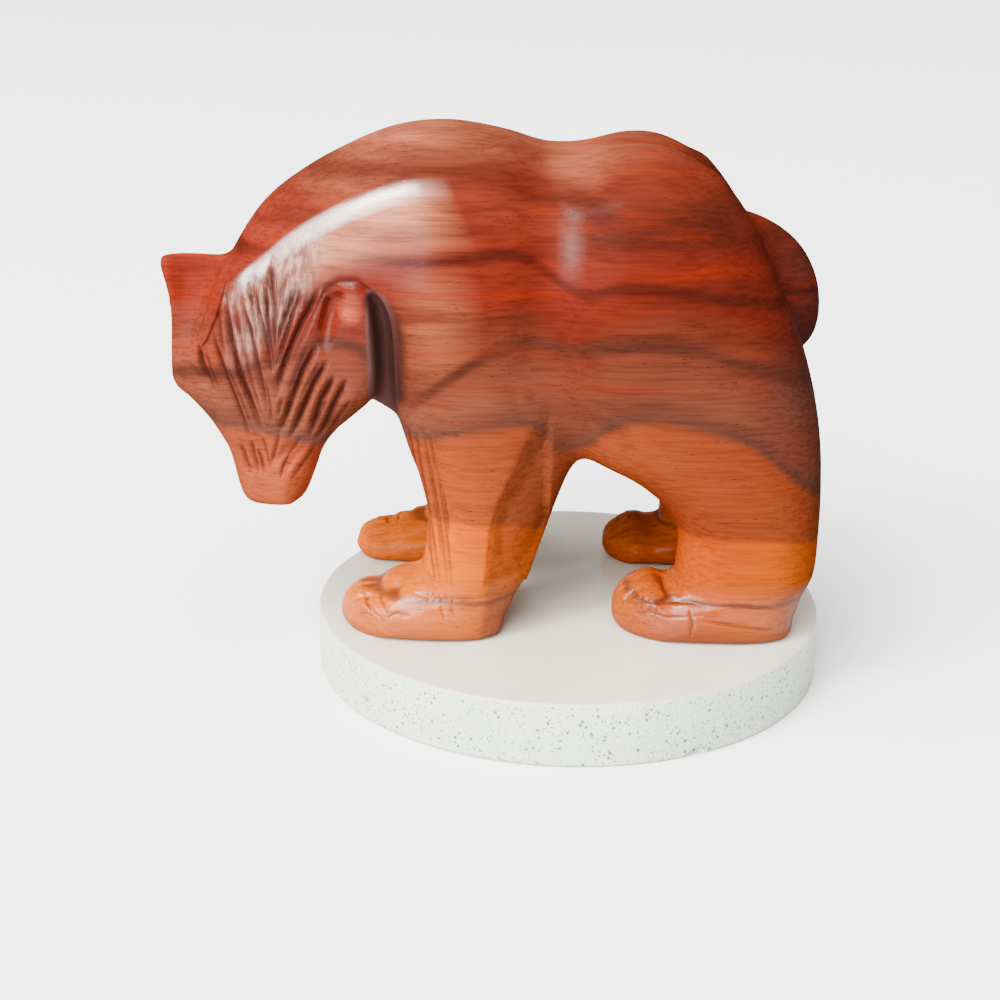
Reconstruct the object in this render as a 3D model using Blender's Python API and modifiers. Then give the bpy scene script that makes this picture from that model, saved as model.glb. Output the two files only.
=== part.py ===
"""A carved hardwood bear, head lowered and turned to its left, standing on a round stone plinth.

Metres, +Z up. The origin is the centre of the plinth's underside, the bear walks towards -X and
turns its head towards -Y. The bear is one carving, and it rests on the plinth by its four soles.
"""

import math

import bmesh
import bpy
from mathutils import Vector

# Driving dimensions, in metres.
BEAR_HEIGHT = 0.100
BEAR_MIDLINE_Y = 0.0059
SEAT_GAP = 0.0003
PLINTH_DIAMETER = 0.107
PLINTH_THICKNESS = 0.0133
PLINTH_EDGE_ROUND = 0.0007
PLINTH_SIDES = 96

# The carving is proportioned in hundredths of the bear's own height, from here down.
UNIT = BEAR_HEIGHT / 100
VOXEL = 0.9
BODY_SMOOTHING = 14
JOIN_SMOOTHING = 3
BEAR_TRIANGLES = 9100
RING_POINTS = 36
STEPS_PER_STATION = 5

# Trunk and neck, from the crown of the head back to the rump:
# (distance along, sideways, back line, widest level, belly line, half width, squareness).
TRUNK = (
    (-72.0, -6.0, 70.0, 68.0, 64.0, 3.0, 2.0),
    (-69.0, -6.0, 76.0, 69.0, 58.0, 9.0, 2.0),
    (-63.0, -6.0, 84.8, 70.0, 55.0, 16.0, 2.1),
    (-55.0, -4.5, 91.0, 70.0, 51.0, 21.0, 2.2),
    (-46.0, -2.0, 95.6, 69.0, 47.0, 25.5, 2.3),
    (-37.0, 0.0, 98.9, 66.0, 41.5, 29.0, 2.4),
    (-26.0, 0.0, 100.2, 63.0, 36.0, 30.3, 2.4),
    (-14.0, 0.0, 98.2, 62.0, 34.5, 29.0, 2.5),
    (-6.5, 0.0, 95.9, 61.2, 34.5, 26.8, 2.6),
    (2.0, 0.0, 96.0, 60.5, 34.2, 30.2, 2.6),
    (10.0, 0.0, 98.4, 59.6, 34.0, 31.4, 2.6),
    (18.0, 0.0, 98.0, 58.0, 34.0, 31.0, 2.6),
    (27.0, 0.0, 92.6, 55.0, 35.0, 29.6, 2.6),
    (35.0, 0.0, 81.5, 52.0, 38.0, 27.6, 2.6),
    (42.0, 0.0, 66.5, 50.0, 40.0, 24.4, 2.5),
    (46.5, 0.0, 55.0, 48.0, 42.0, 16.0, 2.2),
)
# The spine lies in a shallow valley between the two hips: (from, to, depth, half width).
SPINE_VALLEY = (3.0, 40.0, 3.2, 6.5)

# Legs, from the sole up into the trunk:
# (level, front, back, inner side, outer side, squareness).
FORELEG = (
    (-2.0, -32.0, -18.0, 11.0, 31.0, 2.6),
    (2.0, -32.0, -14.0, 11.0, 32.0, 2.6),
    (8.0, -31.5, -10.0, 10.5, 32.6, 2.8),
    (16.0, -30.2, -7.0, 10.0, 32.4, 2.8),
    (24.0, -29.6, -4.2, 9.0, 32.0, 2.6),
    (32.0, -31.5, -1.2, 8.0, 31.4, 2.5),
    (40.0, -34.5, 3.0, 6.0, 30.8, 2.4),
    (50.0, -37.0, 5.0, 4.0, 30.0, 2.3),
    (60.0, -38.0, 6.0, 2.0, 28.0, 2.2),
)
# Behind this line down its outer side the foreleg is pared away towards its back edge.
FORELEG_RIDGE = -17.5
FORELEG_PARING = 0.34
HINDLEG = (
    (-2.0, 24.0, 42.0, 11.0, 31.0, 2.6),
    (2.0, 23.0, 45.0, 11.0, 32.0, 2.6),
    (6.0, 22.0, 47.6, 10.5, 32.5, 2.7),
    (14.0, 21.3, 49.9, 10.0, 32.6, 2.6),
    (20.0, 21.8, 50.2, 9.5, 32.6, 2.5),
    (26.0, 19.0, 50.4, 8.5, 32.4, 2.5),
    (32.0, 11.5, 50.4, 7.0, 32.2, 2.4),
    (38.0, 0.0, 50.2, 5.0, 31.8, 2.3),
    (48.0, -1.0, 48.7, 3.0, 31.2, 2.2),
    (60.0, 1.0, 45.2, 2.0, 29.8, 2.2),
    (72.0, 6.0, 39.8, 2.0, 27.0, 2.2),
    (84.0, 9.0, 34.0, 3.0, 22.0, 2.2),
    (93.0, 12.0, 27.0, 5.0, 17.0, 2.0),
)

# Paws: (distance along, top, half width, squareness), from the claws back to the heel.
PAW_CENTRE_Y = 21.2
FORE_PAW = (
    (-47.6, 4.0, 4.5, 2.0),
    (-46.6, 6.2, 7.6, 2.1),
    (-43.8, 8.4, 9.6, 2.1),
    (-41.2, 8.8, 10.4, 2.1),
    (-39.6, 8.4, 10.6, 2.1),
    (-37.0, 10.8, 11.2, 2.1),
    (-33.5, 11.8, 11.6, 2.2),
    (-28.0, 12.0, 11.8, 2.4),
    (-20.0, 11.0, 11.4, 2.5),
    (-16.0, 7.5, 9.5, 2.3),
    (-13.8, 4.5, 7.0, 2.1),
)
HIND_PAW = (
    (8.6, 4.6, 5.5, 2.0),
    (9.6, 7.4, 8.8, 2.1),
    (12.5, 9.9, 10.8, 2.1),
    (16.0, 11.6, 11.6, 2.1),
    (19.6, 10.4, 11.2, 2.1),
    (24.0, 11.6, 11.6, 2.3),
    (37.0, 11.5, 11.6, 2.5),
    (43.0, 8.0, 10.0, 2.3),
    (45.8, 4.5, 7.0, 2.1),
)

# The paws on the bear's right are cut this much lower.
RIGHT_PAW_HEIGHT = 0.72

# The tail hangs behind the rump: (level, front, back, half width).
TAIL_CENTRE_Y = 1.5
TAIL = (
    (53.0, 42.5, 46.8, 2.5),
    (54.8, 38.0, 49.4, 4.6),
    (57.5, 36.0, 50.8, 6.2),
    (61.0, 34.0, 51.4, 7.2),
    (65.5, 32.0, 51.2, 7.4),
    (70.0, 30.0, 50.0, 7.2),
    (75.0, 27.0, 47.2, 6.8),
    (79.0, 24.0, 42.8, 6.0),
    (82.0, 22.0, 37.0, 4.5),
)

# The head hangs straight down, turned to the bear's left by this much.
HEAD_CENTRE = (-60.0, -17.0)
HEAD_TURN = math.radians(76)
# (level, middle, half width, front depth, back depth, squareness), from crown to nose.
HEAD = (
    (83.0, -9.0, 5.0, -3.0, 9.0, 2.2),
    (80.0, -6.5, 8.5, 1.5, 10.0, 2.3),
    (76.0, -3.5, 11.5, 6.0, 11.0, 2.4),
    (71.0, -1.2, 13.5, 8.6, 11.5, 2.4),
    (66.0, -0.4, 15.0, 9.4, 11.5, 2.5),
    (58.0, 0.0, 18.0, 9.6, 12.0, 2.6),
    (52.0, 0.0, 20.8, 9.2, 12.0, 2.7),
    (49.3, 0.0, 20.8, 9.0, 11.5, 2.7),
    (46.0, 0.2, 17.2, 8.8, 10.5, 2.6),
    (43.0, 0.2, 14.3, 8.4, 9.5, 2.5),
    (40.0, 0.2, 12.0, 8.2, 8.8, 2.5),
    (37.0, 0.3, 10.2, 7.8, 8.2, 2.5),
    (33.0, 0.3, 9.3, 7.3, 7.6, 2.6),
    (29.5, 0.6, 8.6, 6.9, 7.0, 2.8),
    (27.0, 0.6, 7.6, 6.6, 6.6, 3.0),
    (25.4, 0.6, 6.6, 6.0, 6.0, 3.0),
)
# Ears: (level, inner edge, outer edge, set forward, half thickness), and how far the rim bows.
RIGHT_EAR = (
    (45.5, 8.0, 17.0, -3.0, 3.0),
    (49.0, 8.0, 20.6, 0.0, 6.0),
    (55.0, 8.0, 20.9, 0.8, 6.4),
    (61.0, 7.0, 21.2, 0.4, 5.6),
    (67.0, 6.0, 22.4, -0.6, 4.4),
    (72.0, 6.0, 24.4, -1.2, 3.2),
    (75.4, 8.0, 25.4, -1.6, 2.0),
)
RIGHT_EAR_BOW = 2.2
LEFT_EAR = (
    (42.0, 8.0, 13.4, -1.4, 2.6),
    (45.5, 8.0, 17.4, -1.0, 4.2),
    (50.0, 8.0, 21.2, 0.0, 5.6),
    (59.0, 9.0, 21.7, 0.5, 6.4),
    (66.0, 10.0, 21.5, 0.5, 6.2),
    (70.0, 11.5, 20.6, 0.5, 5.0),
    (71.6, 14.0, 18.6, 0.5, 2.6),
)
LEFT_EAR_BOW = 1.5
# The cheek and ear stand clear of the shoulder by a gouged channel, seen from above:
# (level, distance along, sideways, half width, half depth).
CHANNEL = (
    (72.4, -41.4, -29.2, 0.7, 2.2),
    (70.0, -39.6, -28.6, 1.3, 5.4),
    (65.0, -38.2, -28.0, 1.9, 8.0),
    (57.0, -37.7, -27.0, 1.9, 8.5),
    (50.0, -37.8, -26.0, 2.0, 9.0),
    (43.0, -38.3, -24.0, 2.3, 9.0),
)

# Hollows in the front of the ears, from the raised hair to the rim:
# (inner edge below, inner edge above, rim below, rim above, bottom, top, depth).
EAR_CUPS = (
    (16.5, 7.5, 21.5, 25.0, 50.0, 77.0, 3.4),
    (-9.8, -13.0, -13.2, -18.6, 57.0, 72.4, 2.2),
)
# Locks of hair down the face, as grooves: (across, level) at the top, then at the foot.
LOCK_WIDTH = 2.2
LOCK_DEPTH = 1.1
LOCKS = (
    (16.6, 55.1, 11.3, 50.4),
    (13.2, 59.1, 11.3, 50.4),
    (10.7, 59.3, 4.0, 41.0),
    (7.7, 68.8, 0.6, 41.5),
    (4.4, 68.4, -0.1, 48.5),
    (2.2, 75.5, -1.8, 55.2),
    (-2.5, 76.9, -1.8, 55.2),
    (-5.3, 74.2, -2.2, 55.8),
    (-7.9, 71.2, -2.8, 55.2),
    (-12.2, 72.7, -1.6, 48.6),
    (-10.9, 60.1, -6.2, 49.0),
    (-6.2, 49.0, -3.3, 42.3),
    (-13.1, 57.5, -6.2, 41.9),
    (-14.8, 54.4, -10.0, 42.9),
    (-17.3, 53.4, -12.3, 41.6),
    (5.1, 39.5, 4.3, 32.5),
    (3.2, 40.7, 2.0, 32.8),
    (1.0, 41.5, 0.5, 32.9),
    (-7.4, 40.8, -1.1, 35.0),
    (-8.9, 40.9, -3.4, 32.6),
)
# Toes parted by grooves over the front of each paw: their sideways places off its centre.
TOE_PARTINGS = (-5.2, 0.0, 5.2)
TOE_WIDTH = 2.0
TOE_DEPTH = 1.1
# (front end, back end) of the partings on each kind of paw.
FORE_TOES = (-48.0, -39.5)
HIND_TOES = (8.5, 15.5)

# Chips off the plinth's rims: (angle in degrees, level, radius).
CHIPS = (
    (-64.0, 0.0, 0.0021),
    (-56.5, PLINTH_THICKNESS, 0.0012),
)
CHIP_OVERHANG = 0.0008


def clear_scene():
    for old in list(bpy.data.objects):
        bpy.data.objects.remove(old)


def through(stations, t):
    """The station at t along the list, on a Catmull-Rom curve through all of them."""
    last = len(stations) - 1
    i = min(int(t), last - 1)
    f = t - i
    before = stations[max(i - 1, 0)]
    a, b = stations[i], stations[i + 1]
    after = stations[min(i + 2, last)]
    return [
        0.5
        * (
            2 * q
            + (r - p) * f
            + (2 * p - 5 * q + 4 * r - s) * f * f
            + (3 * q - p - 3 * r + s) * f * f * f
        )
        for p, q, r, s in zip(before, a, b, after)
    ]


def smooth_step(value):
    value = min(max(value, 0.0), 1.0)
    return value * value * (3 - 2 * value)


def power(value, exponent):
    return math.copysign(abs(value) ** exponent, value)


def squared_ring(right, left, up, down, squareness):
    """Points round a rounded box that reaches right, left, up and down from its own centre."""
    ring = []
    for k in range(RING_POINTS):
        turn = 2 * math.pi * k / RING_POINTS
        across = power(math.cos(turn), 2 / squareness)
        above = power(math.sin(turn), 2 / squareness)
        ring.append((across * (right if across > 0 else left), above * (up if above > 0 else down)))
    return ring


def add_loft(solid, stations, ring_at):
    """Adds to the mesh a closed skin over the rings that ring_at makes along the stations."""
    rings = []
    count = (len(stations) - 1) * STEPS_PER_STATION
    for n in range(count + 1):
        ring = ring_at(through(stations, n / STEPS_PER_STATION))
        rings.append([solid.verts.new(Vector(point)) for point in ring])
    faces = [solid.faces.new(reversed(rings[0])), solid.faces.new(rings[-1])]
    for low, high in zip(rings, rings[1:]):
        for k in range(RING_POINTS):
            j = (k + 1) % RING_POINTS
            faces.append(solid.faces.new((low[k], low[j], high[j], high[k])))
    bmesh.ops.recalc_face_normals(solid, faces=faces)


def trunk_ring(station):
    x, sideways, back, widest, belly, half, squareness = station
    start, end, depth, width = SPINE_VALLEY
    valley = depth * smooth_step((x - start) / 12) * smooth_step((end - x) / 12)
    ring = []
    for y, z in squared_ring(half, half, back - widest, widest - belly, squareness):
        dip = valley * math.exp(-((y / width) ** 2)) if z > 0 else 0
        ring.append((x, sideways + y, widest + z - dip))
    return ring


def leg_ring(side, ridge, paring):
    def ring_at(station):
        z, front, back, inner, outer, squareness = station
        x_half, y_half = (back - front) / 2, (outer - inner) / 2
        ring = []
        for x, y in squared_ring(x_half, x_half, y_half, y_half, squareness):
            x += (front + back) / 2
            if x > ridge and y > 0:
                y *= 1 - paring * (x - ridge) / (back - ridge)
            ring.append((x, side * ((inner + outer) / 2 + y), z))
        return ring

    return ring_at


def paw_ring(side):
    def ring_at(station):
        x, top, half, squareness = station
        if side > 0:
            top *= RIGHT_PAW_HEIGHT
        ring = squared_ring(half, half, top * 0.66, top * 0.6, squareness)
        return [(x, side * PAW_CENTRE_Y + y, top * 0.34 + z) for y, z in ring]

    return ring_at


def tail_ring(station):
    z, front, back, half = station
    x_half = (back - front) / 2
    ring = squared_ring(x_half, x_half, half, half, 2.2)
    return [((front + back) / 2 + x, TAIL_CENTRE_Y + y, z) for x, y in ring]


def channel_ring(station):
    z, x, y, half_width, half_depth = station
    ring = squared_ring(half_width, half_width, half_depth, half_depth, 2.4)
    return [(x + a, y + b, z) for a, b in ring]


def head_point(across, forward, level):
    """A point given across the head towards its right ear, forward of its middle, and up."""
    sin, cos = math.sin(HEAD_TURN), math.cos(HEAD_TURN)
    x = HEAD_CENTRE[0] - across * sin - forward * cos
    y = HEAD_CENTRE[1] + across * cos - forward * sin
    return (x, y, level)


def in_head(point):
    """The across and forward distances of a point, as head_point takes them."""
    sin, cos = math.sin(HEAD_TURN), math.cos(HEAD_TURN)
    x, y = point[0] - HEAD_CENTRE[0], point[1] - HEAD_CENTRE[1]
    return -x * sin + y * cos, -x * cos - y * sin


def head_ring(station):
    level, middle, half, front, back, squareness = station
    ring = squared_ring(half, half, front, back, squareness)
    return [head_point(middle + across, forward, level) for across, forward in ring]


def ear_ring(side, bow):
    def ring_at(station):
        level, inner, outer, set_forward, thickness = station
        half = (outer - inner) / 2
        ring = []
        for across, forward in squared_ring(half, half, thickness, thickness, 2.3):
            forward += set_forward + bow * max(0.0, across / half) ** 2
            ring.append(head_point(side * (inner + half + across), forward, level))
        return ring

    return ring_at


def mesh_object(name, solid):
    mesh = bpy.data.meshes.new(name)
    solid.to_mesh(mesh)
    solid.free()
    return bpy.data.objects.new(name, mesh)


def fused(solid, smoothing, cutter=None):
    """The shapes in one mesh made one skin, less the cutter, with their meetings softened."""
    made = mesh_object("shapes", solid)
    bpy.context.scene.collection.objects.link(made)
    tool = None

    def remesh():
        skin = made.modifiers.new("one skin", "REMESH")
        skin.mode = "VOXEL"
        skin.voxel_size = VOXEL

    remesh()
    if cutter is not None:
        tool = mesh_object("gouge", cutter)
        bpy.context.scene.collection.objects.link(tool)
        cut = made.modifiers.new("gouge", "BOOLEAN")
        cut.operation = "DIFFERENCE"
        cut.solver = "EXACT"
        cut.object = tool
        remesh()
    soften = made.modifiers.new("soften", "SMOOTH")
    soften.factor = 0.5
    soften.iterations = smoothing
    bpy.context.view_layer.update()
    graph = bpy.context.evaluated_depsgraph_get()
    mesh = bpy.data.meshes.new_from_object(made.evaluated_get(graph))
    bpy.data.objects.remove(made)
    if tool is not None:
        bpy.data.objects.remove(tool)
    skin = bmesh.new()
    skin.from_mesh(mesh)
    bpy.data.meshes.remove(mesh)
    return skin


def groove(x, y, x1, y1, x2, y2, width):
    """How deep, from 0 to 1, a tapered groove between two points is at a place."""
    dx, dy = x2 - x1, y2 - y1
    along = ((x - x1) * dx + (y - y1) * dy) / (dx * dx + dy * dy)
    if not -0.05 < along < 1.05:
        return 0.0
    along = min(max(along, 0.0), 1.0)
    off = math.hypot(x - x1 - along * dx, y - y1 - along * dy)
    ends = smooth_step(along / 0.25) * smooth_step((1 - along) / 0.2)
    return max(0.0, 1 - off / (width / 2)) * (0.25 + 0.75 * ends)


def face_depth(point):
    """How far the front of the head is cut back at a place."""
    across, forward = in_head(point)
    level = point[2]
    depth = 0.0
    for inner_low, inner_high, rim_low, rim_high, bottom, top, deep in EAR_CUPS:
        up = (level - bottom) / (top - bottom)
        inner = inner_low + (inner_high - inner_low) * up
        rim = rim_low + (rim_high - rim_low) * up
        out = (across - inner) / (rim - inner)
        if 0 < up < 1 and 0 < out < 1:
            ends = smooth_step(up / 0.7) * smooth_step((1 - up) / 0.2)
            depth += deep * ends * smooth_step(out / 0.2) * smooth_step((1 - out) / 0.45)
    locks = [groove(across, level, a, b, c, d, LOCK_WIDTH) for a, b, c, d in LOCKS]
    return depth + LOCK_DEPTH * max(locks)


def toe_depth(point):
    """How far the front of a paw is cut in at a place."""
    off = abs(point[1]) - PAW_CENTRE_Y
    depth = 0.0
    for front, back in (FORE_TOES, HIND_TOES):
        for place in TOE_PARTINGS:
            depth = max(depth, groove(point[0], off, front, place, back, place, TOE_WIDTH))
    return TOE_DEPTH * depth


def carve(skin):
    """Cuts the face and the toes into the skin, after making it finer there."""
    forward = Vector(head_point(0, 1, 0)) - Vector(head_point(0, 0, 0))
    for _ in range(2):
        fine = []
        for edge in skin.edges:
            middle = (edge.verts[0].co + edge.verts[1].co) / 2
            across, ahead = in_head(middle)
            face = 30 < middle.z < 78 and abs(across) < 22 and ahead > 0
            if face and edge.calc_length() > 0.6:
                fine.append(edge)
        bmesh.ops.subdivide_edges(skin, edges=fine, cuts=1, use_grid_fill=True)
        bmesh.ops.triangulate(skin, faces=[f for f in skin.faces if len(f.verts) > 4])
    skin.normal_update()
    moves = []
    for vert in skin.verts:
        across, ahead = in_head(vert.co)
        if vert.co.z > 30 and ahead > -3 and abs(across) < 26:
            facing = smooth_step(2.5 * vert.normal.dot(forward))
            moves.append((vert, -forward * facing * face_depth(vert.co)))
        elif vert.co.z < 17 and vert.normal.z > -0.2:
            moves.append((vert, -vert.normal * toe_depth(vert.co)))
    for vert, move in moves:
        vert.co += move
    face = [vert for vert, _ in moves if vert.co.z > 30]
    bmesh.ops.smooth_vert(
        skin, verts=face, factor=0.5, use_axis_x=True, use_axis_y=True, use_axis_z=True
    )


def principled(name, colour, roughness, metallic=0.0):
    made = bpy.data.materials.new(name)
    made.use_nodes = True
    shader = made.node_tree.nodes["Principled BSDF"]
    shader.inputs["Base Color"].default_value = (*colour, 1.0)
    shader.inputs["Roughness"].default_value = roughness
    shader.inputs["Metallic"].default_value = metallic
    return made


def bear():
    body = bmesh.new()
    add_loft(body, TRUNK, trunk_ring)
    for side in (-1, 1):
        add_loft(body, FORELEG, leg_ring(side, FORELEG_RIDGE, FORELEG_PARING))
        add_loft(body, HINDLEG, leg_ring(side, 100.0, 0.0))
    body = fused(body, BODY_SMOOTHING)
    for side in (-1, 1):
        add_loft(body, FORE_PAW, paw_ring(side))
        add_loft(body, HIND_PAW, paw_ring(side))
    add_loft(body, HEAD, head_ring)
    add_loft(body, RIGHT_EAR, ear_ring(1, RIGHT_EAR_BOW))
    add_loft(body, LEFT_EAR, ear_ring(-1, LEFT_EAR_BOW))
    add_loft(body, TAIL, tail_ring)
    channel = bmesh.new()
    add_loft(channel, CHANNEL, channel_ring)
    body = fused(body, JOIN_SMOOTHING, channel)
    carve(body)
    cut = bmesh.ops.bisect_plane(
        body,
        geom=body.verts[:] + body.edges[:] + body.faces[:],
        plane_co=(0, 0, 0),
        plane_no=(0, 0, -1),
        clear_outer=True,
    )
    rim = [e for e in cut["geom_cut"] if isinstance(e, bmesh.types.BMEdge)]
    bmesh.ops.holes_fill(body, edges=rim)
    bmesh.ops.triangulate(body, faces=body.faces[:])
    lift = Vector((0, BEAR_MIDLINE_Y, PLINTH_THICKNESS + SEAT_GAP))
    for vert in body.verts:
        vert.co = vert.co * UNIT + lift
    made = mesh_object("bear", body)
    thin = made.modifiers.new("thin", "DECIMATE")
    thin.ratio = BEAR_TRIANGLES / len(made.data.polygons)
    made.data.materials.append(principled("rosewood", (0.33, 0.09, 0.045), 0.3))
    return made


def move_to(thing, collection):
    for old in thing.users_collection:
        old.objects.unlink(thing)
    collection.objects.link(thing)


def plinth(collection, cutters):
    bpy.ops.mesh.primitive_cylinder_add(
        vertices=PLINTH_SIDES,
        radius=PLINTH_DIAMETER / 2,
        depth=PLINTH_THICKNESS,
        location=(0, 0, PLINTH_THICKNESS / 2),
    )
    made = bpy.context.object
    made.name = "plinth"
    made.data.materials.append(principled("stone", (0.8, 0.8, 0.76), 0.45))
    edge = made.modifiers.new("eased edge", "BEVEL")
    edge.width = PLINTH_EDGE_ROUND
    edge.segments = 1
    edge.limit_method = "ANGLE"
    for angle, level, radius in CHIPS:
        reach = PLINTH_DIAMETER / 2 + CHIP_OVERHANG
        turn = math.radians(angle)
        bpy.ops.mesh.primitive_ico_sphere_add(
            subdivisions=2,
            radius=radius,
            location=(reach * math.cos(turn), reach * math.sin(turn), level),
        )
        tool = bpy.context.object
        tool.name = "chip"
        tool.scale = (1.6, 1.6, 0.9)
        tool.rotation_euler = (0, 0, turn)
        tool.hide_render = True
        tool.display_type = "WIRE"
        move_to(tool, cutters)
        chip = made.modifiers.new("chip", "BOOLEAN")
        chip.operation = "DIFFERENCE"
        chip.solver = "EXACT"
        chip.object = tool
    move_to(made, collection)


def main():
    clear_scene()
    collection = bpy.data.collections.new("carved bear")
    cutters = bpy.data.collections.new("cutters")
    bpy.context.scene.collection.children.link(collection)
    bpy.context.scene.collection.children.link(cutters)
    plinth(collection, cutters)
    collection.objects.link(bear())


main()
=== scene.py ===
"""A carved rosewood bear on a round white stone plinth, in soft studio light.

The bear keeps the solid's form and gets its smooth polish, its cut hair and its grain here.
The plinth gets its eased rims, its chips and its speckled stone. Lengths are in millimetres
until a mesh is placed, and then in metres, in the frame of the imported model.
"""

import math

import bpy
import numpy as np
from mathutils import Matrix, Vector


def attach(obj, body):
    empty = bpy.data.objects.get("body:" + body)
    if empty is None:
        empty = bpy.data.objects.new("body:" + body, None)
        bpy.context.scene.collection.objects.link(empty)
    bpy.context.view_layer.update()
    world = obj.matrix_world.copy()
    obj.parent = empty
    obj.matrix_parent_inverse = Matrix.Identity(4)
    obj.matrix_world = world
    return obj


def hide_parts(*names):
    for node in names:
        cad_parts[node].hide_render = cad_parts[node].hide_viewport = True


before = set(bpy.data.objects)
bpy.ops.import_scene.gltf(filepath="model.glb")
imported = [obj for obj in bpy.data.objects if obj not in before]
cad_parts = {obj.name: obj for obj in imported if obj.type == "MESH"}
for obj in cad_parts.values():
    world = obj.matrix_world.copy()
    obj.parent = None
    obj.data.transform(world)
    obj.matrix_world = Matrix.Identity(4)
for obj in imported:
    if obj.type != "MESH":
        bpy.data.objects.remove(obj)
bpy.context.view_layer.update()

MM = 0.001
PLINTH_TOP = 13.3
SOLE_LEVEL = 13.6
BEAR_MIDLINE = 5.9
SKIN_GRID = 0.5
RUBBING_ROUNDS = 70
MOST_TRIANGLES = 190000


def select_only(*things):
    bpy.ops.object.select_all(action="DESELECT")
    for thing in things:
        thing.select_set(True)
    bpy.context.view_layer.objects.active = things[0]


def apply_modifiers(thing):
    select_only(thing)
    for modifier in list(thing.modifiers):
        bpy.ops.object.modifier_apply(modifier=modifier.name)


# The bear's form


def smoothed_copy(node_name, piece_name):
    """The solid's form as one fine skin."""
    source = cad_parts[node_name]
    bear = source.copy()
    bear.data = source.data.copy()
    bear.name = piece_name
    bear.parent = None
    bpy.context.scene.collection.objects.link(bear)
    select_only(bear)
    bpy.ops.object.mode_set(mode="EDIT")
    bpy.ops.mesh.select_all(action="SELECT")
    bpy.ops.mesh.remove_doubles(threshold=0.00001)
    bpy.ops.object.mode_set(mode="OBJECT")
    skin = bear.modifiers.new("fine skin", "REMESH")
    skin.mode = "VOXEL"
    skin.voxel_size = SKIN_GRID * MM
    apply_modifiers(bear)
    return bear


def points_of(mesh):
    """The mesh's points in millimetres, from the middle of the bear's soles."""
    flat = np.empty(len(mesh.vertices) * 3)
    mesh.vertices.foreach_get("co", flat)
    return flat.reshape(-1, 3) / MM - (0.0, BEAR_MIDLINE, SOLE_LEVEL)


def normals_of(mesh):
    flat = np.empty(len(mesh.vertices) * 3, np.float32)
    mesh.vertex_normals.foreach_get("vector", flat)
    return flat.reshape(-1, 3).astype(float)


def put_points(mesh, points):
    flat = (points + (0.0, BEAR_MIDLINE, SOLE_LEVEL)) * MM
    mesh.vertices.foreach_set("co", flat.ravel())
    mesh.update()


def step(value):
    value = np.clip(value, 0.0, 1.0)
    return value * value * (3 - 2 * value)


# The head's own directions: across towards its right ear, and forward out of its face.
HEAD_CENTRE = (-60.0, -17.0)
HEAD_TURN = math.radians(76)
ACROSS = np.array((-math.sin(HEAD_TURN), math.cos(HEAD_TURN), 0.0))
FORWARD = np.array((-math.cos(HEAD_TURN), -math.sin(HEAD_TURN), 0.0))


def across_and_ahead(points):
    off = points - (HEAD_CENTRE[0], HEAD_CENTRE[1], 0.0)
    return off @ ACROSS, off @ FORWARD


def polish(bear):
    """Rubs the flats out of the body, and hardly touches the face and the paws."""
    points = points_of(bear.data)
    across, ahead = across_and_ahead(points)
    z = points[:, 2]
    on_face = step((ahead + 2) / 4) * step((24 - np.abs(across)) / 3)
    on_face = on_face * step((z - 28) / 4) * step((80 - z) / 6)
    on_nose = step((40 - z) / 4) * step((z - 20) / 2) * step((-48 - points[:, 0]) / 3)
    on_paws = step((17 - z) / 4)
    rub = 1 - np.maximum(np.maximum(0.86 * on_face, 0.93 * on_nose), 0.9 * on_paws)
    group = bear.vertex_groups.new(name="rub")
    levels = np.round(rub, 2)
    for level in np.unique(levels):
        group.add(np.flatnonzero(levels == level).tolist(), float(level), "REPLACE")
    smooth = bear.modifiers.new("rub", "SMOOTH")
    smooth.factor = 0.5
    smooth.iterations = RUBBING_ROUNDS
    smooth.vertex_group = "rub"
    apply_modifiers(bear)
    bear.vertex_groups.clear()


def refine_where_carved(bear):
    """Makes the skin finer on the face and on the paws, for the knife."""
    mesh = bear.data
    points = points_of(mesh)
    across, ahead = across_and_ahead(points)
    z = points[:, 2]
    face = (z > 30) & (z < 80) & (np.abs(across) < 24) & (ahead > -2)
    chosen = face | (z < 15)
    corners = np.empty(len(mesh.loops), np.int64)
    mesh.loops.foreach_get("vertex_index", corners)
    starts = np.empty(len(mesh.polygons), np.int64)
    mesh.polygons.foreach_get("loop_start", starts)
    mesh.polygons.foreach_set("select", chosen[corners[starts]])
    select_only(bear)
    bpy.ops.object.mode_set(mode="EDIT")
    bpy.ops.mesh.select_mode(type="FACE")
    bpy.ops.mesh.subdivide(number_cuts=1)
    bpy.ops.object.mode_set(mode="OBJECT")


def cut_line(a, b, path, half_width, power=1.6, ends=(0.2, 0.3)):
    """How deep, 0 to 1, a line cut along a path is at the places a, b; it tapers at its ends."""
    depth = np.zeros_like(a)
    lengths = [math.dist(p, q) for p, q in zip(path, path[1:])]
    total = sum(lengths)
    gone = 0.0
    for (a1, b1), (a2, b2), length in zip(path, path[1:], lengths):
        da, db = a2 - a1, b2 - b1
        near = (np.minimum(a1, a2) - half_width < a) & (a < np.maximum(a1, a2) + half_width)
        near &= (np.minimum(b1, b2) - half_width < b) & (b < np.maximum(b1, b2) + half_width)
        pa, pb = a[near], b[near]
        t = np.clip(((pa - a1) * da + (pb - b1) * db) / (length * length), 0, 1)
        off = np.hypot(pa - a1 - t * da, pb - b1 - t * db)
        along = (gone + t * length) / total
        taper = np.sqrt(np.clip(np.minimum(along / ends[0], (1 - along) / ends[1]), 0.0, 1.0))
        side = np.clip(1 - off / (half_width * (0.4 + 0.6 * taper)), 0, 1) ** power
        depth[near] = np.maximum(depth[near], side * taper)
        gone += length
    return depth


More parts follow.
